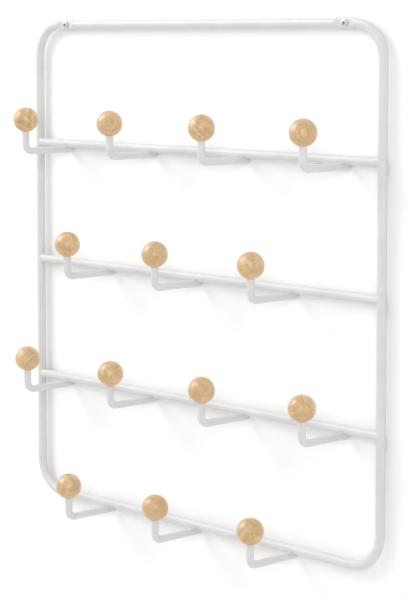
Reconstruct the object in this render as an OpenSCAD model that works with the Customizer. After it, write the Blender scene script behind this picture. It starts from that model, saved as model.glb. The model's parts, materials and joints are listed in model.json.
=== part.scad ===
// Wall-hung coat rack: a rounded tube frame with three crossbars, and rows of bent-rod
// hooks that each end in a round wooden knob. Millimetres, +Z up, +Y into the wall.
// The origin lies on the wall, halfway between the two wall screws.

/* [Frame] */
// Distance between the centre lines of the two side tubes
frame_w = 524; // [480:1:600]
// Distance between the centre lines of neighbouring horizontal tubes
row_pitch = 135; // [110:1:180]
// Outside diameter of the frame tube and the crossbars
tube_d = 9.5; // [9:0.5:12]
// Wall thickness of the tubes
tube_wall = 1; // [0.8:0.1:1.5]
// Centre-line radius of the four corners
corner_r = 36; // [30:1:36]
// Gap between the back of the tubes and the wall, filled by the pads
wall_gap = 2; // [1.5:0.5:4]

/* [Screw tabs] */
// Distance of each wall screw from the middle of the rack
screw_x = 213; // [190:1:213]
// Height of the tube where it is pressed flat for a screw
tab_h = 12; // [11:0.5:13]
// Thickness of the tube where it is pressed flat
tab_t = 6.5; // [6:0.5:7]
// Length of the flat part
tab_len = 16; // [14:1:18]
// Length of the slope from the flat part to the round tube
tab_slope = 5; // [3:0.5:5]

/* [Hooks] */
// Number of hooks on each row, from the top
hooks_per_row = [4, 3, 4, 3];
// Distance between neighbouring hooks of a row
hook_pitch = 142; // [120:1:142]
// Diameter of the hook rod
rod_d = 8; // [7:0.5:9]
// Distance from a bar's centre line forward to the upright end of a hook
hook_reach = 61; // [50:1:75]
// Centre-line radius of the bend
bend_r = 8; // [7:0.5:10]
// How far the rod's centre line passes below the bar's centre line
rod_drop = 6.4; // [6:0.1:8]
// How far the rod runs on behind the bar's centre line
rod_tail = 5; // [4:0.5:6]

/* [Knobs] */
// Diameter of the wooden balls
knob_d = 28; // [25:0.5:32]
// Height of a ball's centre above the bar's centre line
knob_lift = 29; // [27:0.5:35]

/* [Hardware] */
// Outside diameter of the threaded part of the wall screws
screw_d = 4.2; // [4:0.1:5]
// Length of the threaded part of a wall screw, inside the wall
screw_len = 30; // [25:1:40]
// Diameter of the screw heads
head_d = 8; // [7.5:0.5:9]
// Diameter of the threaded stud at the end of each hook rod
stud_d = 5; // [4:0.5:5]
// Outside diameter of the threaded brass insert in each ball
insert_d = 7.5; // [7:0.5:8]
// Outside diameter of the soft pads behind the screw tabs
pad_d = 11; // [10:0.5:12]
// Outside diameter of the soft pads behind the bottom tube
bottom_pad_d = 6; // [5:0.5:7]

/* [Hidden] */
$fn = 64;
rows = len(hooks_per_row);
crossbars = rows - 1;
frame_h = rows * row_pitch;
bar_y = -(wall_gap + tube_d / 2);     // centre line of every tube
knob_y = bar_y - hook_reach;
rod_r = rod_d / 2;
knob_r = knob_d / 2;
bore_d = tube_d - 2 * tube_wall;
tab_y = -(wall_gap + tab_t / 2);      // middle of the pressed tube, its back level with the tube's
tab_front = -(wall_gap + tab_t);
tab_end = tab_len / 2 + tab_slope;    // half the length of tube that a tab takes up
screw_shank_d = 4;                    // plain part under the head
screw_hole_d = 4.6;
screw_tip = 4;
head_edge = 1.2;                      // straight edge of the pan head
head_dome = 1.4;                      // domed part in front of it
cross_w = 1.1;
cross_len = 4.6;
cross_depth = 1.7;
seat_depth = 2;                       // how far the rod stands in the ball
seat_play = 0.2;
insert_len = 12;
stud_len = 10;
rod_chamfer = 0.6;
bottom_pad_x = screw_x;
pad_wrap = 0.8;                       // how far a bottom pad reaches round the tube
slice = 0.05;                         // thin end face that a slope is stretched from
slack = 1;                            // how far a cutting body overshoots

function hook_x(row, col) = (col - (hooks_per_row[row] - 1) / 2) * hook_pitch;
function row_z(row) = -(row + 1) * row_pitch;
function row_col_name(what, row, col) = str(what, "_row", row + 1, "_", col + 1);
function row_names(what) =
    [for (row = [0:rows - 1]) for (col = [0:hooks_per_row[row] - 1]) row_col_name(what, row, col)];

// ---- tubes ----

// A round bar along X, on the tubes' centre plane
module bar_x(x_from, x_to, z, d) {
    translate([x_from, bar_y, z])
        rotate([0, 90, 0])
            cylinder(d = d, h = x_to - x_from);
}

// One quarter-circle corner, whose bend starts at the angle from +X towards +Z
module corner(side, z, from, d) {
    translate([side * (frame_w / 2 - corner_r), bar_y, z])
        rotate([90, 0, 0])
            rotate([0, 0, from])
                rotate_extrude(angle = 90)
                    translate([corner_r, 0])
                        circle(d = d);
}

// The closed rounded rectangle, as a solid bar of diameter d
module loop(d) {
    straight = frame_w / 2 - corner_r;
    for (z = [0, -frame_h])
        bar_x(-straight, straight, z, d);
    for (side = [-1, 1])
        translate([side * frame_w / 2, bar_y, corner_r - frame_h])
            cylinder(d = d, h = frame_h - 2 * corner_r);
    corner(1, -corner_r, 0, d);
    corner(-1, -corner_r, 90, d);
    corner(-1, corner_r - frame_h, 180, d);
    corner(1, corner_r - frame_h, 270, d);
}

// A bar along X with flat faces and round top and bottom, centred on x = 0
module flat_bar(length, h, t) {
    translate([-length / 2, 0, 0])
        rotate([0, 90, 0]) {
            for (end = [-1, 1])
                translate([end * (h - t) / 2, 0, 0])
                    cylinder(d = t, h = length);
            translate([-(h - t) / 2, -t / 2, 0])
                cube([h - t, t, length]);
        }
}

// The slope between the flat part and the round tube, on the +X side of a tab
module tab_slope_solid() {
    hull() {
        translate([tab_len / 2, tab_y, 0])
            flat_bar(slice, tab_h, tab_t);
        bar_x(tab_end - slice, tab_end, 0, tube_d);
    }
}

module tab_space() {
    translate([-tab_end, bar_y - tube_d, -tube_d])
        cube([2 * tab_end, 2 * tube_d, 2 * tube_d]);
}

module screw_tab() {
    translate([0, tab_y, 0])
        flat_bar(tab_len, tab_h, tab_t);
    tab_slope_solid();
    mirror([1, 0, 0])
        tab_slope_solid();
}

module screw_hole() {
    translate([0, -tube_d - wall_gap - slack, 0])
        rotate([-90, 0, 0])
            cylinder(d = screw_hole_d, h = tube_d + wall_gap + 2 * slack);
}

module frame_tube() {
    color("white")
        difference() {
            union() {
                difference() {
                    loop(tube_d);
                    for (side = [-1, 1])
                        translate([side * screw_x, 0, 0])
                            tab_space();
                }
                for (side = [-1, 1])
                    translate([side * screw_x, 0, 0])
                        screw_tab();
            }
            difference() {
                loop(bore_d);
                for (side = [-1, 1])
                    translate([side * screw_x, 0, 0])
                        tab_space();
            }
            for (side = [-1, 1])
                translate([side * screw_x, 0, 0]) {
                    translate([0, tab_y, 0])
                        flat_bar(2 * tab_end, tab_h - 2 * tube_wall - tab_t / 2, tab_t - 2 * tube_wall);
                    screw_hole();
                }
        }
}

// A crossbar, coped at both ends to sit on the side tubes
module crossbar(row) {
    z = row_z(row);
    color("white")
        difference() {
            bar_x(-frame_w / 2, frame_w / 2, z, tube_d);
            bar_x(-frame_w / 2 - slack, frame_w / 2 + slack, z, bore_d);
            for (side = [-1, 1])
                translate([side * frame_w / 2, bar_y, z - tube_d])
                    cylinder(d = tube_d, h = 2 * tube_d);
        }
}

// ---- hooks and knobs ----

// A bent rod with a threaded stud, coped where it is welded under its bar
module hook(row, col) {
    seat_z = knob_lift - knob_r + seat_depth;
    color("white")
        translate([hook_x(row, col), 0, row_z(row)])
            difference() {
                union() {
                    translate([0, knob_y + bend_r, -rod_drop])
                        rotate([-90, 0, 0])
                            cylinder(d = rod_d, h = hook_reach + rod_tail - bend_r - rod_chamfer);
                    translate([0, bar_y + rod_tail - rod_chamfer, -rod_drop])
                        rotate([-90, 0, 0])
                            cylinder(d1 = rod_d, d2 = rod_d - 2 * rod_chamfer, h = rod_chamfer);
                    translate([0, knob_y + bend_r, bend_r - rod_drop])
                        rotate([0, -90, 0])
                            rotate([0, 0, 180])
                                rotate_extrude(angle = 90)
                                    translate([bend_r, 0])
                                        circle(d = rod_d);
                    translate([0, knob_y, bend_r - rod_drop])
                        cylinder(d = rod_d, h = seat_z - bend_r + rod_drop);
                    translate([0, knob_y, seat_z])
                        cylinder(d = stud_d, h = stud_len);
                }
                bar_x(-rod_d, rod_d, 0, tube_d);
            }
}

// A wooden ball with a seat for the rod and a blind hole for the insert
module knob(row, col) {
    color("burlywood")
        translate([hook_x(row, col), knob_y, row_z(row) + knob_lift])
            difference() {
                sphere(r = knob_r);
                translate([0, 0, -knob_r - slack])
                    cylinder(d = rod_d + seat_play, h = seat_depth + slack);
                translate([0, 0, seat_depth - knob_r - slack])
                    cylinder(d = insert_d, h = insert_len + 2 * slack);
            }
}

module knob_inserts() {
    color("goldenrod")
        for (row = [0:rows - 1])
            for (col = [0:hooks_per_row[row] - 1])
                translate([hook_x(row, col), knob_y, row_z(row) + knob_lift - knob_r + seat_depth])
                    difference() {
                        cylinder(d = insert_d, h = insert_len);
                        translate([0, 0, -slack])
                            cylinder(d = stud_d, h = insert_len + 2 * slack);
                    }
}

// ---- wall hardware ----

// A pan-head wood screw with a cross recess, pointing into the wall
module wall_screw() {
    difference() {
        translate([0, tab_front, 0])
            rotate([90, 0, 0]) {
                cylinder(d = head_d, h = head_edge);
                translate([0, 0, head_edge])
                    cylinder(d1 = head_d, d2 = head_d * 0.6, h = head_dome);
            }
        for (turn = [0, 90])
            translate([0, tab_front - head_edge - head_dome, 0])
                rotate([0, turn, 0])
                    translate([-cross_len / 2, -slack, -cross_w / 2])
                        cube([cross_len, cross_depth + slack, cross_w]);
    }
    translate([0, tab_front, 0])
        rotate([-90, 0, 0])
            cylinder(d = screw_shank_d, h = -tab_front);
    rotate([-90, 0, 0])
        cylinder(d = screw_d, h = screw_len);
    translate([0, screw_len, 0])
        rotate([-90, 0, 0])
            cylinder(d1 = screw_d, d2 = 0.4, h = screw_tip);
}

module wall_screws() {
    color("silver")
        for (side = [-1, 1])
            translate([side * screw_x, 0, 0])
                wall_screw();
}

// Soft rings between the flat parts and the wall
module screw_pads() {
    color("gainsboro")
        for (side = [-1, 1])
            translate([side * screw_x, -wall_gap, 0])
                rotate([-90, 0, 0])
                    difference() {
                        cylinder(d = pad_d, h = wall_gap);
                        translate([0, 0, -slack])
                            cylinder(d = screw_hole_d, h = wall_gap + 2 * slack);
                    }
}

// Soft round bumpers that hug the back of the bottom tube
module bottom_pads() {
    color("gainsboro")
        for (side = [-1, 1])
            difference() {
                translate([side * bottom_pad_x, -wall_gap - pad_wrap, -frame_h])
                    rotate([-90, 0, 0])
                        cylinder(d = bottom_pad_d, h = wall_gap + pad_wrap);
                bar_x(side * bottom_pad_x - bottom_pad_d, side * bottom_pad_x + bottom_pad_d, -frame_h, tube_d);
            }
}

frame_tube();
for (row = [0:crossbars - 1])
    crossbar(row);
for (row = [0:rows - 1])
    for (col = [0:hooks_per_row[row] - 1]) {
        hook(row, col);
        knob(row, col);
    }
knob_inserts();
wall_screws();
screw_pads();
bottom_pads();
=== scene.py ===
import json
import math

import bpy
import numpy as np
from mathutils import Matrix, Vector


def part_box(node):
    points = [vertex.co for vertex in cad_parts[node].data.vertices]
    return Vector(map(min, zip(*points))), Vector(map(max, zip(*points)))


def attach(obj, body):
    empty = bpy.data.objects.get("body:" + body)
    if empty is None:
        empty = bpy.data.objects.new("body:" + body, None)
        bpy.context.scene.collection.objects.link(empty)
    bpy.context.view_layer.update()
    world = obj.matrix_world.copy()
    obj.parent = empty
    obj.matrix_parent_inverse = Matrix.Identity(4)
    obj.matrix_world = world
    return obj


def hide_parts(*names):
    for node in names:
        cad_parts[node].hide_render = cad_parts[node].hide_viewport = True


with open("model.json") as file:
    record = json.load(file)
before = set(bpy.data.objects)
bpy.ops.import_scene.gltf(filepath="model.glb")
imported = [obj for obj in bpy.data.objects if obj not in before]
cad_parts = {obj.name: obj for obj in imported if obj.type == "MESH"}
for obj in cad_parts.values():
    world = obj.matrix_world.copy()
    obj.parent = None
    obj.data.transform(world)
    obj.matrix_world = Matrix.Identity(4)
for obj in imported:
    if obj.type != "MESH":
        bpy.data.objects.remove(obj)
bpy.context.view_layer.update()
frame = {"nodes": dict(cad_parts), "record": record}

mm = 0.001
print("frame loaded:", len(frame["nodes"]), "nodes")

# Where things are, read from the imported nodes

wallScrewMount = next(m for m in frame["record"]["mounts"] if m["name"] == "wall_screws")
screwX = wallScrewMount["dims"]["spacing_x_mm"] / 2 * mm
topZ = wallScrewMount["pos_m"][2]


def nodeBox(node):
    low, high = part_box(node)
    return np.array(low), np.array(high)


def nodesNamed(start):
    return sorted(name for name in frame["nodes"] if name.startswith(start))


barLow, barHigh = nodeBox("crossbar_1")
frameLow, frameHigh = nodeBox("frame_tube")
tubeR = (barHigh[2] - barLow[2]) / 2
tubeY = (barHigh[1] + barLow[1]) / 2
sideX = barHigh[0]                        # the crossbars end on the side tubes' centre lines
bottomZ = frameLow[2] + tubeR
backY = tubeY + tubeR                     # the plane that the backs of the tubes lie in
barZ = [nodeBox(name)[0][2] + tubeR for name in nodesNamed("crossbar_")] + [bottomZ]


def rowOf(node):
    return int(node.split("row")[1].split("_")[0]) - 1


# Meshes from whole arrays of points


# Even angles round a circle; the last isn't the first again
def circleAngles(count):
    return np.linspace(0, 2 * np.pi, count, endpoint=False)


# Quads between neighbouring rings and a fan of triangles to each pole. The rings are closed, and if looped
# the last ring joins the first
def shellFaces(rings, around, looped, startPole, endPole):
    row = np.arange(rings if looped else rings - 1)[:, None]
    col = np.arange(around)[None, :]
    nextRow = (row + 1) % rings
    nextCol = (col + 1) % around
    quads = np.stack([row * around + col, row * around + nextCol,
                      nextRow * around + nextCol, nextRow * around + col], axis=-1).reshape(-1, 4)
    spare = rings * around
    col = np.arange(around)
    nextCol = (col + 1) % around
    fans = []
    if startPole:
        fans.append(np.stack([np.full(around, spare), nextCol, col], axis=-1))
        spare += 1
    if endPole:
        last = (rings - 1) * around
        fans.append(np.stack([np.full(around, spare), last + col, last + nextCol], axis=-1))
    return quads, np.concatenate(fans) if fans else np.zeros((0, 3), int)


# Six times the volume inside a shell: the sum over its triangles of a . (b x c).
# It is negative if the shell is inside out
def signedVolume(points, quads, fans):
    triangles = np.concatenate([quads[:, [0, 1, 2]], quads[:, [0, 2, 3]], fans])
    a, b, c = (points[triangles[:, k]] for k in range(3))
    return np.sum(a * np.cross(b, c))


# One piece from closed shells. A shell is a dictionary: rings, an array of ring, place round it and xyz;
# start and end, the points that close it, or looped; second, the ring from which the second material is
# used; extra, named values for each of its points
def makePiece(name, shells, materials, sharpAbove=40):
    allPoints, loops, totals, slots, extras = [], [], [], [], {}
    base = 0
    for shell in shells:
        rings = shell["rings"]
        count, around = rings.shape[:2]
        poles = [shell[key] for key in ("start", "end") if key in shell]
        points = np.concatenate([rings.reshape(-1, 3)] + [np.array(p, float)[None] for p in poles])
        quads, fans = shellFaces(count, around, shell.get("looped", False), "start" in shell, "end" in shell)
        if signedVolume(points - points.mean(0), quads, fans) < 0:
            quads = quads[:, ::-1]
            fans = fans[:, ::-1]
        allPoints.append(points)
        loops += [quads.ravel() + base, fans.ravel() + base]
        totals += [np.full(len(quads), 4), np.full(len(fans), 3)]
        second = shell.get("second", count)
        startFans = around if "start" in shell else 0
        slots += [(quads.min(1) >= second * around).astype(int),
                  (np.arange(len(fans)) >= startFans).astype(int) * (second < count)]
        for key, values in shell.get("extra", {}).items():
            extras.setdefault(key, []).append(values)
        base += len(points)
    points = np.concatenate(allPoints)
    loops = np.concatenate(loops)
    totals = np.concatenate(totals)
    mesh = bpy.data.meshes.new(name)
    mesh.vertices.add(len(points))
    mesh.vertices.foreach_set("co", points.ravel())
    mesh.loops.add(len(loops))
    mesh.loops.foreach_set("vertex_index", loops)
    mesh.polygons.add(len(totals))
    mesh.polygons.foreach_set("loop_start", np.concatenate([[0], np.cumsum(totals)[:-1]]))
    mesh.update(calc_edges=True)
    mesh.polygons.foreach_set("material_index", np.concatenate(slots))
    mesh.shade_smooth()
    mesh.set_sharp_from_angle(angle=math.radians(sharpAbove))
    for key, parts in extras.items():
        values = np.concatenate(parts)
        kind = "FLOAT_VECTOR" if values.ndim == 2 else "FLOAT"
        field = mesh.attributes.new(key, kind, "POINT")
        field.data.foreach_set("vector" if values.ndim == 2 else "value", values.ravel())
    for material in materials:
        mesh.materials.append(material)
    mesh.validate()
    piece = bpy.data.objects.new(name, mesh)
    bpy.context.scene.collection.objects.link(piece)
    return piece


# A piece takes the place of a CAD node, and has its finish
def standFor(piece, node):
    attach(piece, "root")
    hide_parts(node)


# A skin round a path: place + radius * (cos t * first side + sin t * second side)
def skinAlong(places, firstSide, secondSide, radii, angles):
    out = (np.cos(angles)[None, :, None] * firstSide[:, None, :]
           + np.sin(angles)[None, :, None] * secondSide[:, None, :])
    radii = np.broadcast_to(radii if np.ndim(radii) == 2 else np.asarray(radii)[:, None], out.shape[:2])
    return places[:, None, :] + radii[..., None] * out, out


# How far points are outside a round bar, and the way straight out of it
def awayFromBar(points, barPoint, barAxis):
    offset = points - barPoint
    across = offset - (offset @ barAxis)[..., None] * barAxis
    distance = np.linalg.norm(across, axis=-1)
    return distance, across / np.maximum(distance, 1e-9)[..., None]


weld = {
    "under": 0.04 * mm,                      # the skin ends this far inside the bar, so that no slit shows
    "levelFrom": 0.95, "levelSlope": 0.05,   # inside the bar the weld hardly rises any more
}


# A welded joint: near the bar the skin rises along its own normal by bead * n * n, where n goes from 0 at
# a bead's width to 1 on the bar, and grows slowly inside it. It rises less where the two skins face the
# same way, and a slow wave along the joint leaves the ripples of the weld. What is inside the bar goes to
# its skin. look holds the settings of the tube or rod that is welded on
def weldOnto(points, normals, barPoint, barAxis, look):
    bead = look["bead"]
    distance, outward = awayFromBar(points, barPoint, barAxis)
    near = np.maximum(1 - (distance - tubeR) / bead, 0)
    near = np.minimum(near, weld["levelFrom"] + weld["levelSlope"] * near)
    facing = np.clip(1 - np.sum(normals * outward, axis=-1), 0, 1)
    wave = 1 + look["ripple"] * np.sin(look["ripples"] * circleAngles(points.shape[1]))
    points = points + normals * (bead * facing * wave * near ** 2)[..., None]
    distance, outward = awayFromBar(points, barPoint, barAxis)
    return points + outward * np.maximum(tubeR - weld["under"] - distance, 0)[..., None]


# From 0 to 1 with level ends: 3 t^2 - 2 t^3
def smoothStep(t):
    t = np.clip(t, 0, 1)
    return t * t * (3 - 2 * t)


# Stations along a line, close together near the given places
def stations(start, end, coarse, closeUps, fine):
    marks = [np.linspace(start, end, max(2, int(abs(end - start) / coarse) + 1))]
    for place, reach in closeUps:
        low = max(start, place - reach)
        high = min(end, place + reach)
        marks.append(np.linspace(low, high, int((high - low) / fine) + 1))
    return np.unique(np.round(np.concatenate(marks), 7))


# Materials


# An output of a node in one material: arithmetic on it adds Math nodes, and node() adds any other kind
class Wire:
    def __init__(self, tree, socket=None):
        self.tree = tree
        self.socket = socket

    def node(self, kind, settings=None, sockets=None, output=None):
        made = self.tree.nodes.new(kind)
        for name, value in (settings or {}).items():
            setattr(made, name, value)
        for name, value in (sockets or {}).items():
            socket = next(s for s in made.inputs if s.identifier == name)
            if isinstance(value, Wire):
                self.tree.links.new(value.socket, socket)
            else:
                socket.default_value = value
        chosen = next((s for s in made.outputs if s.identifier == output), None) or made.outputs[0]
        return Wire(self.tree, chosen)

    def math(self, operation, a, b=0.0):
        return self.node("ShaderNodeMath", {"operation": operation}, {"Value": a, "Value_001": b})

    def __add__(self, other):
        return self.math("ADD", self, other)

    def __radd__(self, other):
        return self.math("ADD", other, self)

    def __sub__(self, other):
        return self.math("SUBTRACT", self, other)

    def __rsub__(self, other):
        return self.math("SUBTRACT", other, self)

    def __mul__(self, other):
        return self.math("MULTIPLY", self, other)

    def __rmul__(self, other):
        return self.math("MULTIPLY", other, self)

    def __truediv__(self, other):
        return self.math("DIVIDE", self, other)

    # Kept between 0 and 1
    def clamped(self):
        return self.node("ShaderNodeClamp", None, {"Value": self, "Min": 0.0, "Max": 1.0})

    # From 0 at low to 1 at high, with level ends
    def ramp(self, low, high):
        return self.node("ShaderNodeMapRange", {"interpolation_type": "SMOOTHSTEP"},
                         {"Value": self, "From Min": low, "From Max": high})


def blendColours(factor, first, second):
    return factor.node("ShaderNodeMix", {"data_type": "RGBA"},
                       {"Factor_Float": factor, "A_Color": first, "B_Color": second}, "Result_Color")


def colour(red, green, blue):
    return (red, green, blue, 1.0)


def noise(place, scale, detail=2.0, roughness=0.5):
    return place.node("ShaderNodeTexNoise", None,
                      {"Vector": place, "Scale": scale, "Detail": detail, "Roughness": roughness})


# A pattern is drawn out along an axis whose amount is below 1
def stretched(place, amounts):
    return place.node("ShaderNodeMapping", None, {"Vector": place, "Scale": amounts})


# A new material with its fixed values set, the place to read patterns at, and the ways to feed its shader
def newMaterial(name, fixed):
    material = bpy.data.materials.new(name)
    material.use_nodes = True
    tree = material.node_tree
    shader = next(n for n in tree.nodes if n.type == "BSDF_PRINCIPLED")
    for key, value in fixed.items():
        shader.inputs[key].default_value = value
    start = Wire(tree)
    place = start.node("ShaderNodeTexCoord", None, None, "Object")

    def feed(key, wire):
        tree.links.new(wire.socket, shader.inputs[key])

    def raiseBy(height, distance, strength=1.0):
        feed("Normal", place.node("ShaderNodeBump", None,
                                  {"Height": height, "Distance": distance, "Strength": strength}))

    return material, place, feed, raiseBy


powderLook = {
    "white": colour(0.637, 0.640, 0.647),
    "shade": colour(0.610, 0.614, 0.624),      # thinner coat and handling marks
    "cloudsPerMetre": 45, "peelPerMetre": 800, "grainPerMetre": 3600,
    "peelShare": 0.8, "grainShare": 0.2, "height": 0.030 * mm,
    "roughness": 0.40, "grainRoughness": 0.12, "cloudRoughness": 0.06,
    "coat": 0.08, "coatRoughness": 0.25,
}


# Satin powder coat: broad clouds in the white, and the small waves and grains of baked powder
def powderCoatMaterial(look):
    material, place, feed, raiseBy = newMaterial(
        "powderCoat", {"Coat Weight": look["coat"], "Coat Roughness": look["coatRoughness"]})
    clouds = noise(place, look["cloudsPerMetre"], 3.0)
    peel = noise(place, look["peelPerMetre"], 1.0)
    grain = noise(place, look["grainPerMetre"], 2.0)
    feed("Base Color", blendColours(clouds.ramp(0.35, 0.7), look["white"], look["shade"]))
    feed("Roughness", look["roughness"] + look["grainRoughness"] * (grain - 0.5)
         + look["cloudRoughness"] * (clouds - 0.5))
    raiseBy(peel * look["peelShare"] + grain * look["grainShare"], look["height"])
    return material


beechLook = {
    "early": colour(0.575, 0.369, 0.173),
    "late": colour(0.395, 0.222, 0.082),
    "pale": colour(0.660, 0.458, 0.242),
    "fleck": colour(0.280, 0.145, 0.052),
    "ringWidth": 1.6 * mm, "ringBend": 4 * mm, "bendsPerMetre": 95,
    "ringStrength": 0.38, "ringSwing": 0.4,      # the swing goes by each ball's tone
    "fibresPerMetre": 1500, "flecksPerMetre": 1450, "blotchesPerMetre": 75,
    "fleckStrength": 0.5, "fibreStrength": 0.9,
    "roughness": 0.42, "fibreRoughness": 0.12, "fleckRoughness": 0.06, "height": 0.05 * mm,
    "coat": 1.0, "coatRoughness": 0.34,
}


# Beech: yearly rings about a pith outside or inside the ball, bent by noise, fine fibres and short dark
# flecks along the grain, which runs along the third axis of the grain attribute
def beechMaterial(look):
    material, place, feed, raiseBy = newMaterial(
        "beech", {"Coat Weight": look["coat"], "Coat Roughness": look["coatRoughness"]})
    timber = place.node("ShaderNodeAttribute", {"attribute_name": "grain"}, None, "Vector")
    tone = place.node("ShaderNodeAttribute", {"attribute_name": "tone"}, None, "Fac")
    flat = timber.node("ShaderNodeVectorMath", {"operation": "MULTIPLY"},
                       {"Vector": timber, "Vector_001": (1.0, 1.0, 0.12)})
    bend = noise(flat, look["bendsPerMetre"])
    fromPith = flat.node("ShaderNodeVectorMath", {"operation": "LENGTH"}, {"Vector": flat}, "Value")
    years = (fromPith + look["ringBend"] * (bend - 0.5)) / look["ringWidth"]
    part = years.math("FRACT", years)
    late = part.ramp(0.15, 0.88) * (1 - part.ramp(0.9, 1.0))
    fibre = noise(stretched(timber, (1.0, 1.0, 0.05)), look["fibresPerMetre"], 2.0, 0.6)
    fleck = noise(stretched(timber, (1.0, 0.6, 0.16)), look["flecksPerMetre"], 0.0).ramp(0.66, 0.74)
    blotch = noise(timber, look["blotchesPerMetre"])
    body = blendColours(blotch.ramp(0.3, 0.72), look["early"], look["pale"])
    strength = look["ringStrength"] + look["ringSwing"] * tone
    rings = blendColours((late * strength * (0.6 + 1.1 * (fibre - 0.3))).clamped(), body, look["late"])
    dark = fleck * look["fleckStrength"] + (fibre - 0.55).clamped() * look["fibreStrength"]
    feed("Base Color", blendColours(dark.clamped(), rings, look["fleck"]))
    feed("Roughness", look["roughness"] + look["fibreRoughness"] * (fibre - 0.5)
         + look["fleckRoughness"] * fleck)
    raiseBy(fibre * 0.6 - fleck * 0.5 - late * 0.15, look["height"])
    return material


platedSteelLook = {
    # The near-black colour is painted shade for the screws' cross recesses
    "bright": colour(0.74, 0.74, 0.73), "bloom": colour(0.60, 0.60, 0.61), "grime": colour(0.10, 0.10, 0.10),
    "bloomPerMetre": 900, "scratchesPerMetre": 5200,
    "roughness": 0.30, "bloomRoughness": 0.16, "scratchRoughness": 0.1, "grimeRoughness": 0.2,
    "height": 0.01 * mm,
}


# Bright plated steel: faint scratches, a dull bloom, and painted shade: a near-black colour and a rougher
# surface where the attribute says the cross recess is deep
def platedSteelMaterial(look):
    material, place, feed, raiseBy = newMaterial("platedSteel", {"Metallic": 1.0})
    bloom = noise(place, look["bloomPerMetre"], 3.0)
    scratch = noise(stretched(place, (1.0, 0.08, 1.0)), look["scratchesPerMetre"])
    # Painted shade: how deep the point lies in a screw's cross recess
    grime = place.node("ShaderNodeAttribute", {"attribute_name": "grime"}, None, "Fac")
    plate = blendColours(bloom, look["bright"], look["bloom"])
    feed("Base Color", blendColours(grime.clamped(), plate, look["grime"]))
    feed("Roughness", look["roughness"] + look["bloomRoughness"] * bloom
         + look["scratchRoughness"] * (scratch - 0.5) + look["grimeRoughness"] * grime)
    raiseBy(scratch, look["height"])
    return material


brassLook = {
    "bright": colour(0.80, 0.62, 0.30), "tarnish": colour(0.62, 0.44, 0.19),
    "tarnishPerMetre": 420, "linesPerMetre": 4200,
    "roughness": 0.26, "tarnishRoughness": 0.2, "height": 0.12 * mm,
}


# Machined brass: patches of tarnish, and lines along the third axis as from a straight knurl
def brassMaterial(look):
    material, place, feed, raiseBy = newMaterial("brass", {"Metallic": 1.0})
    tarnish = noise(place, look["tarnishPerMetre"], 3.0)
    lines = noise(stretched(place, (1.0, 1.0, 0.03)), look["linesPerMetre"], 1.0)
    feed("Base Color", blendColours(tarnish, look["bright"], look["tarnish"]))
    feed("Roughness", look["roughness"] + look["tarnishRoughness"] * tarnish)
    raiseBy(lines, look["height"])
    return material


paleRubberLook = {
    "clean": colour(0.74, 0.74, 0.72), "dusty": colour(0.64, 0.64, 0.62),
    "dustPerMetre": 260, "pebblesPerMetre": 2600,
    "roughness": 0.72, "dustRoughness": 0.14, "height": 0.04 * mm,
}


# Pale soft rubber with a moulded grain and a little dust
def paleRubberMaterial(look):
    material, place, feed, raiseBy = newMaterial("paleRubber", {})
    dust = noise(place, look["dustPerMetre"], 3.0)
    pebble = noise(place, look["pebblesPerMetre"])
    feed("Base Color", blendColours(dust, look["clean"], look["dusty"]))
    feed("Roughness", look["roughness"] + look["dustRoughness"] * (dust - 0.5))
    raiseBy(pebble, look["height"])
    return material


powderCoat = powderCoatMaterial(powderLook)
beech = beechMaterial(beechLook)
platedSteel = platedSteelMaterial(platedSteelLook)
brass = brassMaterial(brassLook)
paleRubber = paleRubberMaterial(paleRubberLook)
print("materials made")

# The frame: one tube bent into a rounded rectangle and pressed flat for each wall screw

frameTube = {
    "cornerRadius": 36 * mm, "around": 64, "perCorner": 32,
    "gap": 12 * mm, "tabGap": 0.4 * mm, "tabMargin": 0.5 * mm,       # between stations, and near the tabs
    "tabLength": 16 * mm, "tabSlope": 5 * mm, "tabDepth": 6.5 * mm,
    "flatShare": 0.35,           # how much of the section's turn the flat faces take
    "bendSquash": 0.02,          # a bent tube is this much lower across the bend
}


# The path is straight runs and quarter circles in the plane y = tubeY. Each station has its place, the
# way out of the loop, and how far it is into a bend
def framePath(look):
    radius = look["cornerRadius"]
    reach = look["tabLength"] / 2 + look["tabSlope"] + look["tabMargin"]
    runX = sideX - radius
    places, outs, bends = [], [], []

    def run(start, end, out, marks):
        along = stations(0, np.linalg.norm(end - start), look["gap"], marks, look["tabGap"])[1:-1]
        way = (end - start) / np.linalg.norm(end - start)
        places.append(start + along[:, None] * way)
        outs.append(np.tile(out, (len(along), 1)))
        bends.append(np.zeros(len(along)))

    def corner(centre, fromAngle):
        turn = np.linspace(fromAngle, fromAngle - np.pi / 2, look["perCorner"] + 1)
        out = np.stack([np.cos(turn), np.zeros_like(turn), np.sin(turn)], axis=1)
        places.append(centre + radius * out)
        outs.append(out)
        bends.append(np.sin(np.linspace(0, np.pi, len(turn))))

    def at(x, z):
        return np.array([x, tubeY, z])

    up, right = np.array([0, 0, 1.0]), np.array([1.0, 0, 0])
    tabs = [(runX + side * screwX, reach) for side in (-1, 1)]
    run(at(-runX, topZ), at(runX, topZ), up, tabs)
    corner(at(runX, topZ - radius), np.pi / 2)
    run(at(sideX, topZ - radius), at(sideX, bottomZ + radius), right, [])
    corner(at(runX, bottomZ + radius), 0)
    run(at(runX, bottomZ), at(-runX, bottomZ), -up, [])
    corner(at(-runX, bottomZ + radius), -np.pi / 2)
    run(at(-sideX, bottomZ + radius), at(-sideX, topZ - radius), -right, [])
    corner(at(-runX, topZ - radius), np.pi)
    return np.concatenate(places), np.concatenate(outs), np.concatenate(bends)


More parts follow.
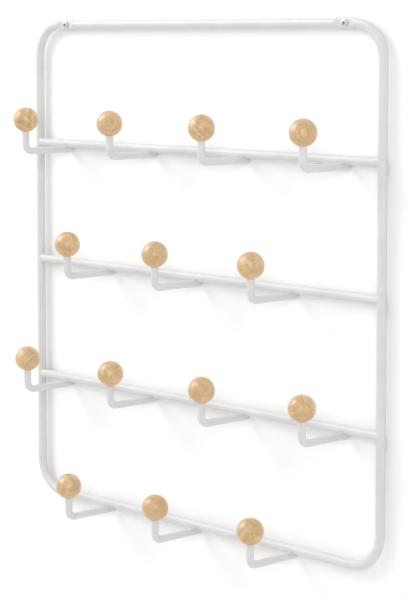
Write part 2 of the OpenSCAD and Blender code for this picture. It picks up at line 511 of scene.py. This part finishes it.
# The section goes from a circle to a stadium as the press weight w goes from 0 to 1. In the circle a
# point is (cos t, sin t) * r. In the stadium the stretch with |cos t| below the flat share is straight,
# and the rest is half circles: q = (|cos t| - share) / (1 - share) runs along them as a cosine
def makeFrameTube(look):
    places, outs, bends = framePath(look)
    t = circleAngles(look["around"])[None, :]
    onTop = places[:, 2] > topZ - 0.1 * mm
    fromScrew = np.abs(np.abs(places[:, 0]) - screwX)
    press = smoothStep(1 - (fromScrew - look["tabLength"] / 2) / look["tabSlope"]) * onTop
    w = press[:, None]
    halfHigh = tubeR + w * (frameHigh[2] - topZ - tubeR) - look["bendSquash"] * tubeR * bends[:, None]
    halfDeep = tubeR + w * (look["tabDepth"] / 2 - tubeR)
    share = look["flatShare"]
    q = np.clip((np.abs(np.cos(t)) - share) / (1 - share), 0, 1)
    side = np.sign(np.cos(t))
    high = ((halfHigh - halfDeep) * np.clip(np.cos(t) / share, -1, 1) * w
            + (halfDeep * w + halfHigh * (1 - w)) * ((1 - w) * np.cos(t) + w * side * q))
    deep = halfDeep * ((1 - w) * np.sin(t) + w * np.sign(np.sin(t)) * np.sqrt(1 - q ** 2))
    rings = places[:, None, :] + high[..., None] * outs[:, None, :]
    rings[..., 1] = backY - halfDeep + deep
    piece = makePiece("frame_tube_bent", [{"rings": rings, "looped": True}], [powderCoat])
    standFor(piece, "frame_tube")


makeFrameTube(frameTube)
print("frame tube made")

# The crossbars, coped to the side tubes and welded

crossbar = {
    "around": 64, "bead": 1.1 * mm, "ripple": 0.12, "ripples": 18, "sink": 0.9 * mm,
    "gap": 0.05, "weldReach": 0.03, "weldGap": 0.0008,         # shares of half the bar's length
}


# Both tubes have the radius R, so a point at angle t round the bar would end R * |sin t| short of the
# side tube's centre line. It goes a little further, into the tube, and the stations are shared out along
# each line
def makeCrossbar(node, z, look):
    t = circleAngles(look["around"])
    reach = sideX - (tubeR - look["sink"]) * np.abs(np.sin(t))
    closeUps = [(-1, look["weldReach"]), (1, look["weldReach"])]
    along = stations(-1, 1, look["gap"], closeUps, look["weldGap"])
    normals = np.stack([np.zeros_like(t), -np.cos(t), np.sin(t)], axis=1)
    rings = np.zeros((len(along), len(t), 3)) + [0, tubeY, z] + tubeR * normals
    rings[..., 0] = along[:, None] * reach
    normals = np.broadcast_to(normals, rings.shape)
    for side in (-1, 1):
        rings = weldOnto(rings, normals, np.array([side * sideX, tubeY, z]), np.array([0, 0, 1.0]), look)
    inside = sideX - tubeR / 2
    shell = {"rings": rings, "start": (-inside, tubeY, z), "end": (inside, tubeY, z)}
    standFor(makePiece(node + "_welded", [shell], [powderCoat]), node)


for node, z in zip(nodesNamed("crossbar_"), barZ):
    makeCrossbar(node, z, crossbar)
print("crossbars made")

# The hooks: a rod let in under its bar, bent up at the front, with a threaded stud for the ball

hook = {
    "around": 56, "bendRadius": 8 * mm, "perBend": 26, "perRise": 8, "endChamfer": 0.5 * mm,
    "bead": 0.9 * mm, "ripple": 0.14, "ripples": 9,
    "gap": 6 * mm, "weldReach": 2.5 * mm, "weldGap": 0.25 * mm,
    "studLength": 10 * mm, "studRadius": 2.5 * mm, "threadPitch": 0.8 * mm, "threadDepth": 0.4 * mm,
    "perThread": 8, "threadEnd": 0.7 * mm,
    "tipHeights": (0.1 * mm, 0.6 * mm), "tipShare": 0.6,       # of the stud's blunt point
}


# The rod's path lies in the plane of its x: back end to bend, a quarter circle, and up to the shoulder;
# then the stud. The radius is constant but for the chamfers. On the stud it is a thread:
# stud radius - depth * (0.5 - 0.5 cos(2 pi height / pitch - t))
def makeHook(node, look):
    low, high = nodeBox(node)
    x = (low[0] + high[0]) / 2
    rodR = (high[0] - low[0]) / 2
    frontY, armZ, backEnd = low[1] + rodR, low[2] + rodR, high[1]
    shoulderZ = high[2] - look["studLength"]
    bendR, chamfer = look["bendRadius"], look["endChamfer"]
    t = circleAngles(look["around"])
    armLength = backEnd - frontY - bendR
    closeUps = [(backEnd - tubeY, tubeR + look["weldReach"]), (0, chamfer)]
    back = stations(0, armLength, look["gap"], closeUps, look["weldGap"])
    turn = np.linspace(0, np.pi / 2, look["perBend"] + 1)[1:]
    rise = np.append(np.linspace(armZ + bendR, shoulderZ - chamfer, look["perRise"])[1:], shoulderZ)
    thread = np.arange(0, look["studLength"] - look["threadEnd"], look["threadPitch"] / look["perThread"])
    y = np.concatenate([backEnd - back, frontY + bendR - bendR * np.sin(turn), np.full(len(rise), frontY)])
    z = np.concatenate([np.full(len(back), armZ), armZ + bendR - bendR * np.cos(turn), rise])
    heading = np.concatenate([np.zeros(len(back)), turn, np.full(len(rise), np.pi / 2)])
    rodRadii = np.full((len(y), len(t)), rodR)
    rodRadii[:len(back)] -= np.maximum(chamfer - back, 0)[:, None]
    rodRadii[-1] -= chamfer
    studRadii = look["studRadius"] - look["threadDepth"] * (
        0.5 - 0.5 * np.cos(2 * np.pi * thread[:, None] / look["threadPitch"] - t[None, :]))
    tip = np.array(look["tipHeights"]) + thread[-1]
    tipRadii = np.array([look["studRadius"] - look["threadDepth"], look["studRadius"] * look["tipShare"]])
    y = np.concatenate([y, np.full(len(thread) + 2, frontY)])
    z = np.concatenate([z, shoulderZ + thread, shoulderZ + tip])
    heading = np.append(heading, np.full(len(thread) + 2, np.pi / 2))
    radii = np.concatenate([rodRadii, studRadii, tipRadii[:, None] * np.ones(len(t))])
    places = np.stack([np.full(len(y), x), y, z], axis=1)
    sideways = np.tile([1.0, 0, 0], (len(y), 1))
    across = np.stack([np.zeros(len(y)), np.sin(heading), np.cos(heading)], axis=1)
    rings, normals = skinAlong(places, sideways, across, radii, t)
    onArm = len(back)
    rings[:onArm] = weldOnto(rings[:onArm], normals[:onArm], np.array([x, tubeY, barZ[rowOf(node)]]),
                             np.array([1.0, 0, 0]), look)
    shell = {"rings": rings, "start": (x, backEnd, armZ), "end": (x, frontY, high[2]),
             "second": len(rodRadii) - 1}
    piece = makePiece(node + "_rod", [shell], [powderCoat, platedSteel])
    standFor(piece, node)


for node in nodesNamed("hook_"):
    makeHook(node, hook)
print("hooks made")

# The wooden balls, each turned from its own bit of timber

ball = {
    "around": 72, "down": 44, "edge": 0.5 * mm, "perEdge": 5, "seatRadius": 4.1 * mm, "seatDepth": 2 * mm,
    "holeRadius": 3.75 * mm, "holeDepth": 13 * mm, "grainSeed": 11,
    "lean": 0.5, "pithAway": 9 * mm, "pithRange": (0.15, 1.6),      # how the timber's lie is drawn
}


# A profile turned about a line along z: rings at the profile's heights with the profile's radii
def turned(centre, radii, heights, t):
    rings = np.zeros((len(radii), len(t), 3)) + centre
    rings[..., 0] += radii[:, None] * np.cos(t)
    rings[..., 1] += radii[:, None] * np.sin(t)
    rings[..., 2] += heights[:, None]
    return rings


# The profile is an arc of the ball from its top to the hole's edge, a rounded edge, and the stepped blind
# hole. The grain attribute is the point's place in the timber: turned by random angles, and moved away
# from the pith
def makeBall(node, look, luck):
    low, high = nodeBox(node)
    radius = (high[0] - low[0]) / 2
    centre = np.array([(low[0] + high[0]) / 2, (low[1] + high[1]) / 2, high[2] - radius])
    t = circleAngles(look["around"])
    seatR, edge = look["seatRadius"], look["edge"]
    lowest = np.pi - np.arcsin((seatR + edge) / radius)
    slope = np.linspace(0, lowest, look["down"] + 1)[1:]
    mouth = radius * np.cos(lowest)
    ease = np.linspace(0, np.pi / 2, look["perEdge"])[1:]
    step = -radius + look["seatDepth"]
    top = -radius + look["seatDepth"] + look["holeDepth"]
    radii = np.concatenate([radius * np.sin(slope), seatR + edge * (1 - np.sin(ease)),
                            [seatR, look["holeRadius"], look["holeRadius"]]])
    heights = np.concatenate([radius * np.cos(slope), mouth + edge * (1 - np.cos(ease)), [step, step, top]])
    rings = turned(centre, radii, heights, t)
    poles = np.array([centre + [0, 0, radius], centre + [0, 0, top]])
    local = np.concatenate([rings.reshape(-1, 3), poles]) - centre
    turn = luck.uniform(0, 2 * np.pi)
    lean = np.pi / 2 + luck.uniform(-look["lean"], look["lean"])      # nearly level, so end grain shows too
    pithSide = luck.uniform(0, 2 * np.pi)
    away = luck.uniform(*look["pithRange"]) * look["pithAway"]
    aboutZ = np.array([[np.cos(turn), -np.sin(turn), 0], [np.sin(turn), np.cos(turn), 0], [0, 0, 1]])
    aboutX = np.array([[1, 0, 0], [0, np.cos(lean), -np.sin(lean)], [0, np.sin(lean), np.cos(lean)]])
    offset = np.array([away * np.cos(pithSide), away * np.sin(pithSide), luck.uniform(-1, 1)])
    grain = local @ aboutZ.T @ aboutX.T + offset
    tone = np.full(len(local), luck.uniform(0, 1))
    shell = {"rings": rings, "start": poles[0], "end": poles[1], "extra": {"grain": grain, "tone": tone}}
    standFor(makePiece(node + "_ball", [shell], [beech]), node)


luck = np.random.default_rng(ball["grainSeed"])
for node in nodesNamed("knob_row"):
    makeBall(node, ball, luck)
print("balls made")

# The inserts' CAD solids stay, in brass
for materialSlot in frame["nodes"]["knob_inserts"].material_slots:
    materialSlot.material = brass

# The wall screws and the soft pads

wallScrew = {
    "around": 96, "rim": 0.9 * mm, "rimEdge": 0.15 * mm, "headRings": 60,
    "crossArm": 2.3 * mm, "crossHalf": 0.62 * mm, "crossDepth": 1.6 * mm, "crossWall": 0.16 * mm,
    "crossEndShare": 0.55, "crossFade": 1.6,       # the arm's width at its end, and how soon it is full depth
    "shank": 2.0 * mm, "thread": 2.1 * mm, "core": 1.5 * mm, "pitch": 1.8 * mm, "perThread": 14,
    "threadStart": 0.3 * mm, "tip": 4 * mm, "bluntShare": 0.3,
}


# How deep the cross recess is at (u, v) on the head: each arm is deep within its narrowing half width and
# fades to its end, and the deeper of the two arms counts
def crossDepth(u, v, look):
    def arm(along, across):
        reach = np.clip((look["crossArm"] - np.abs(along)) / look["crossArm"], 0, 1)
        width = look["crossHalf"] * (look["crossEndShare"] + (1 - look["crossEndShare"]) * reach)
        inside = smoothStep((width - np.abs(across)) / look["crossWall"])
        return look["crossDepth"] * inside * np.minimum(1, look["crossFade"] * reach) ** 0.6

    return np.maximum(arm(u, v), arm(v, u))


# Turned about a line along y. The head's height is H * (1 - (r / R) ** 3) ** (1 / 2.4) over a straight
# rim, less the cross. Then come the shank, a thread of radius
# core + (thread - core) * max(0, cos(2 pi y / pitch - t)) ** 3, and a point
def screwShell(x, look):
    low, high = nodeBox("wall_screws")
    seatY = backY - frameTube["tabDepth"]
    headTop = seatY - low[1]
    headR = (high[0] - low[0]) / 2 - screwX
    t = circleAngles(look["around"])
    across = np.linspace(0, 1, look["headRings"] + 1)[1:]
    dome = (headTop - look["rim"]) * (1 - across ** 3) ** (1 / 2.4) + look["rim"]
    radii = across[:, None] * headR * np.ones(len(t))
    recess = crossDepth(radii * np.cos(t), radii * np.sin(t), look)
    # Painted shade for the cross recess, from 0 on the head to 1 at full depth
    grime = recess / look["crossDepth"]
    rows = [(radii, seatY - (dome[:, None] - recess))]

    def plain(radius, y):
        rows.append((np.full((1, len(t)), radius), np.full((1, len(t)), y)))

    plain(headR, seatY - look["rimEdge"])
    plain(headR - look["rimEdge"], seatY)
    plain(look["shank"], seatY)
    plain(look["shank"], 0.0)
    threadEnd = high[1] - look["tip"] * look["bluntShare"]
    y = np.arange(look["threadStart"], threadEnd, look["pitch"] / look["perThread"])[:, None]
    taper = np.clip((high[1] - y) / look["tip"], 0, 1) ** 0.8
    crest = np.maximum(np.cos(2 * np.pi * y / look["pitch"] - t), 0) ** 3
    rows.append((taper * (look["core"] + (look["thread"] - look["core"]) * crest), y * np.ones(len(t))))
    radii = np.concatenate([r for r, _ in rows])
    depths = np.concatenate([d for _, d in rows])
    rings = np.stack([x + radii * np.cos(t), depths, topZ + radii * np.sin(t)], axis=-1)
    # The recess's bottom point gets full painted shade, the point of the screw none
    grime = np.concatenate([grime.ravel(), np.zeros(len(rings) * len(t) - grime.size), [1.0, 0.0]])
    recessEnd = seatY - (dome[0] - look["crossDepth"])
    return {"rings": rings, "start": (x, recessEnd, topZ), "end": (x, high[1], topZ),
            "extra": {"grime": grime}}


screws = makePiece("wall_screws_threaded", [screwShell(side * screwX, wallScrew) for side in (-1, 1)],
                   [platedSteel], 50)
standFor(screws, "wall_screws")

pad = {
    "around": 64, "edge": 0.5 * mm, "hole": 2.3 * mm,
    "aroundSection": 32, "boxiness": 3, "perEdge": 7, "perFlat": 16,
}


# A washer: a profile turned about a line along y and closed on itself. The profile is a small circle whose
# halves are moved apart by (half size - edge) * (cos or sin, steepened and clipped), so a rounded rectangle
def washerShell(x, outer, look):
    t = circleAngles(look["around"])
    turn = circleAngles(look["aroundSection"])
    halfDeep, edge, steep = -backY / 2, look["edge"], look["boxiness"]
    middle, halfWide = (outer + look["hole"]) / 2, (outer - look["hole"]) / 2
    radii = middle + (halfWide - edge) * np.clip(np.cos(turn) * steep, -1, 1) + edge * np.cos(turn)
    depths = backY / 2 + (halfDeep - edge) * np.clip(np.sin(turn) * steep, -1, 1) + edge * np.sin(turn)
    rings = np.stack([x + radii[:, None] * np.cos(t), depths[:, None] + 0 * t,
                      topZ + radii[:, None] * np.sin(t)], axis=-1)
    return {"rings": rings, "looped": True}


# A round pad: flat on the wall, with quarter circles for edges, and moved out of the tube where it hugs it
def bumperShell(x, outer, deep, look):
    t = circleAngles(look["around"])
    ease = np.linspace(0, np.pi / 2, look["perEdge"])
    edge = look["edge"]
    flat = np.linspace(0, outer - edge, look["perFlat"])[1:-1]
    radii = np.concatenate([flat, outer - edge + edge * np.sin(ease), outer - edge + edge * np.cos(ease),
                            flat[::-1]])
    depths = np.concatenate([0 * flat, -edge + edge * np.cos(ease), -deep + edge - edge * np.sin(ease),
                             -deep + 0 * flat])
    rings = np.stack([x + radii[:, None] * np.cos(t), depths[:, None] + 0 * t,
                      bottomZ + radii[:, None] * np.sin(t)], axis=-1)
    distance, outward = awayFromBar(rings, np.array([0, tubeY, bottomZ]), np.array([1.0, 0, 0]))
    rings = rings + outward * np.maximum(tubeR - distance, 0)[..., None]
    return {"rings": rings, "start": (x, 0, bottomZ), "end": (x, backY, bottomZ)}


def makePads(look):
    low, high = nodeBox("screw_pads")
    outer = (high[2] - low[2]) / 2
    washers = [washerShell(side * screwX, outer, look) for side in (-1, 1)]
    standFor(makePiece("screw_pads_soft", washers, [paleRubber]), "screw_pads")
    low, high = nodeBox("bottom_pads")
    outer = (high[2] - low[2]) / 2
    bumpers = [bumperShell(side * (high[0] - outer), outer, -low[1], look) for side in (-1, 1)]
    standFor(makePiece("bottom_pads_soft", bumpers, [paleRubber]), "bottom_pads")


makePads(pad)
print("screws and pads made")

# The stage: a white wall, a pale floor, soft light and the camera

stage = {
    "wallHalf": 6.0, "wallTop": 2.4, "wallBack": 1.0 * mm,      # clear of the pads' flat backs
    "floorZ": -1.45, "floorHalf": 15.0,
    "wallWhite": colour(0.92, 0.92, 0.92), "floorWhite": colour(0.87, 0.86, 0.84),
    "patchesPerMetre": 3.0, "patchShade": 0.99, "roughness": 0.9, "specular": 0.1,
    "skyStrength": 0.72,
    "lamps": {                    # place, size and power
        "keyLight": ((-1.59, -1.34, 1.30), 1.7, 35.0),
        "leftLight": ((-2.43, -0.65, 0.40), 1.5, 3.5),
        "rightLight": ((1.78, -1.78, 0.30), 1.5, 18.0),
    },
}


# Matt paint with faint patches. The wall's is clear from behind, so that the rack's back can be looked at
def stageMaterial(name, paint, clearBehind, look):
    material, place, feed, _ = newMaterial(
        name, {"Roughness": look["roughness"], "Specular IOR Level": look["specular"]})
    shade = colour(*[look["patchShade"] * part for part in paint[:3]])
    feed("Base Color", blendColours(noise(place, look["patchesPerMetre"]), paint, shade))
    if clearBehind:
        tree = material.node_tree
        output = next(n for n in tree.nodes if n.type == "OUTPUT_MATERIAL")
        solid = Wire(tree, next(n for n in tree.nodes if n.type == "BSDF_PRINCIPLED").outputs[0])
        behind = place.node("ShaderNodeNewGeometry", None, None, "Backfacing")
        clear = place.node("ShaderNodeBsdfTransparent")
        mixed = place.node("ShaderNodeMixShader", None, {"Fac": behind, "Shader": solid, "Shader_001": clear})
        tree.links.new(mixed.socket, output.inputs["Surface"])
    return material


def stageSheet(name, corners, material):
    mesh = bpy.data.meshes.new(name)
    mesh.from_pydata(corners, [], [(0, 1, 2, 3)])
    mesh.materials.append(material)
    sheet = bpy.data.objects.new(name, mesh)
    bpy.context.scene.collection.objects.link(sheet)


# A round lamp that faces the target and isn't seen itself
def softLight(name, place, size, power, target):
    lamp = bpy.data.lights.new(name, "AREA")
    lamp.shape = "DISK"
    lamp.size = size
    lamp.energy = power
    light = bpy.data.objects.new(name, lamp)
    light.location = place
    aim = np.array(target) - np.array(place)
    light.rotation_euler = (math.acos(-aim[2] / np.linalg.norm(aim)), 0, math.atan2(-aim[0], aim[1]))
    light.visible_camera = False
    bpy.context.scene.collection.objects.link(light)


def makeStage(look):
    half, high, low = look["wallHalf"], look["wallTop"], look["floorZ"]
    wide, y = look["floorHalf"], look["wallBack"]
    stageSheet("wall", [(-half, y, low), (half, y, low), (half, y, high), (-half, y, high)],
               stageMaterial("wallPaint", look["wallWhite"], True, look))
    stageSheet("floor", [(-wide, -wide, low), (wide, -wide, low), (wide, wide, low), (-wide, wide, low)],
               stageMaterial("floorPaint", look["floorWhite"], False, look))
    world = bpy.data.worlds.new("studio")
    bpy.context.scene.world = world
    world.use_nodes = True
    sky = world.node_tree.nodes["Background"]
    sky.inputs["Color"].default_value = colour(1, 1, 1)
    sky.inputs["Strength"].default_value = look["skyStrength"]
    middle = (0, 0, (topZ + bottomZ) / 2)
    for name, (place, size, power) in look["lamps"].items():
        softLight(name, place, size, power, middle)
    bpy.context.scene.view_settings.view_transform = "Standard"


makeStage(stage)

camera = {
    "place": (1.540, -1.476, -0.014), "azimuth": 46.12, "pitch": -4.94,
    "lens": 120.06, "sensorWidth": 36, "shiftY": -0.15, "clipStart": 0.05,
}


def makeCamera(look):
    data = bpy.data.cameras.new("camera")
    data.lens = look["lens"]
    data.sensor_width = look["sensorWidth"]
    data.shift_y = look["shiftY"]
    data.clip_start = look["clipStart"]
    body = bpy.data.objects.new("camera", data)
    body.location = look["place"]
    body.rotation_euler = (math.radians(90 + look["pitch"]), 0, math.radians(look["azimuth"]))
    bpy.context.scene.collection.objects.link(body)
    bpy.context.scene.camera = body


makeCamera(camera)
print("stage and camera made")
